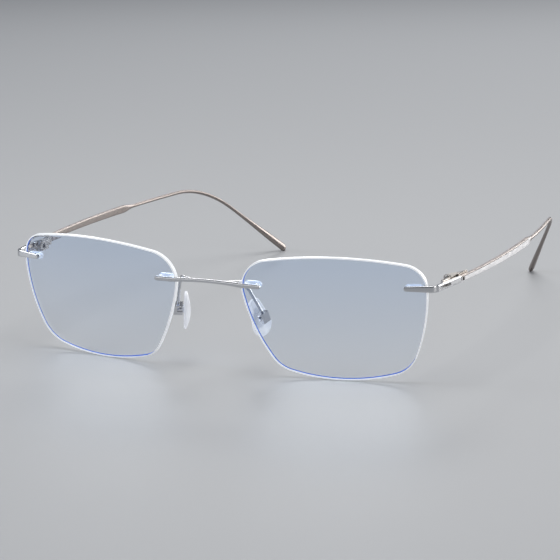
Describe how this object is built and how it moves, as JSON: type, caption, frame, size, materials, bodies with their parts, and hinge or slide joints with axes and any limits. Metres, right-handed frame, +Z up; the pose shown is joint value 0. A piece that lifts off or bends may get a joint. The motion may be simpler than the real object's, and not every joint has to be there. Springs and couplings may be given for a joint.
{
  "type": "rimless eyeglasses",
  "caption": "Rimless eyeglasses: two drilled lenses held by a slim metal bridge and slotted endpieces, with folding temples and silicone nose pads on wire arms.",
  "frame": {"origin": "on the floor under the middle of the whole, as it stands on its lenses and temple tips", "axes": "+X to the wearer's left, +Y from the lenses to the temple tips, +Z up"},
  "size_m": [0.1366, 0.1584, 0.0367],
  "materials": {
    "lens": "clear polymer with a blue anti-reflection coating",
    "plug": "clear",
    "polished_metal": "polished titanium",
    "satin_metal": "satin titanium",
    "screw": "bright",
    "washer": "natural nylon",
    "core": "clear",
    "silicone": "clear soft silicone"
  },
  "bodies": {
    "front": {"bridge": "polished_metal", "lens_left": "lens", "lens_right": "lens", "nasal_sleeve_left": "plug", "nasal_sleeve_right": "plug", "temporal_sleeve_left": "plug", "temporal_sleeve_right": "plug", "endpiece_left": "polished_metal", "endpiece_right": "polished_metal", "hinge_tongue_left": "polished_metal", "hinge_tongue_right": "polished_metal", "pad_box_left": "polished_metal", "pad_box_right": "polished_metal", "pad_screw_left": "screw", "pad_screw_right": "screw", "pad_arm_left": "polished_metal", "pad_arm_right": "polished_metal"},
    "temple_left": {"temple_left": "satin_metal", "hinge_fork_left": "satin_metal", "hinge_screw_left": "screw", "hinge_washers_left": "washer"},
    "temple_right": {"temple_right": "satin_metal", "hinge_fork_right": "satin_metal", "hinge_screw_right": "screw", "hinge_washers_right": "washer"},
    "pad_left": {"nose_pad_left": "silicone", "pad_core_left": "core"},
    "pad_right": {"nose_pad_right": "silicone", "pad_core_right": "core"}
  },
  "joints": [
    {"name": "temple_left_fold", "type": "hinge", "parent": "front", "child": "temple_left", "pos_m": [0.06393, -0.05781, 0.02819], "axis": [0, 0.0173, 0.9998], "range_deg": [0, 86]},
    {"name": "temple_right_fold", "type": "hinge", "parent": "front", "child": "temple_right", "pos_m": [-0.06393, -0.05781, 0.02819], "axis": [0, -0.0173, -0.9998], "range_deg": [0, 82]},
    {"name": "pad_left_rock", "type": "hinge", "parent": "front", "child": "pad_left", "pos_m": [0.01283, -0.0694, 0.01624], "axis": [-0.3727, -0.8553, -0.36], "range_deg": [-7, 7]},
    {"name": "pad_right_rock", "type": "hinge", "parent": "front", "child": "pad_right", "pos_m": [-0.01283, -0.0694, 0.01624], "axis": [-0.3727, 0.8553, 0.36], "range_deg": [-7, 7]}
  ]
}
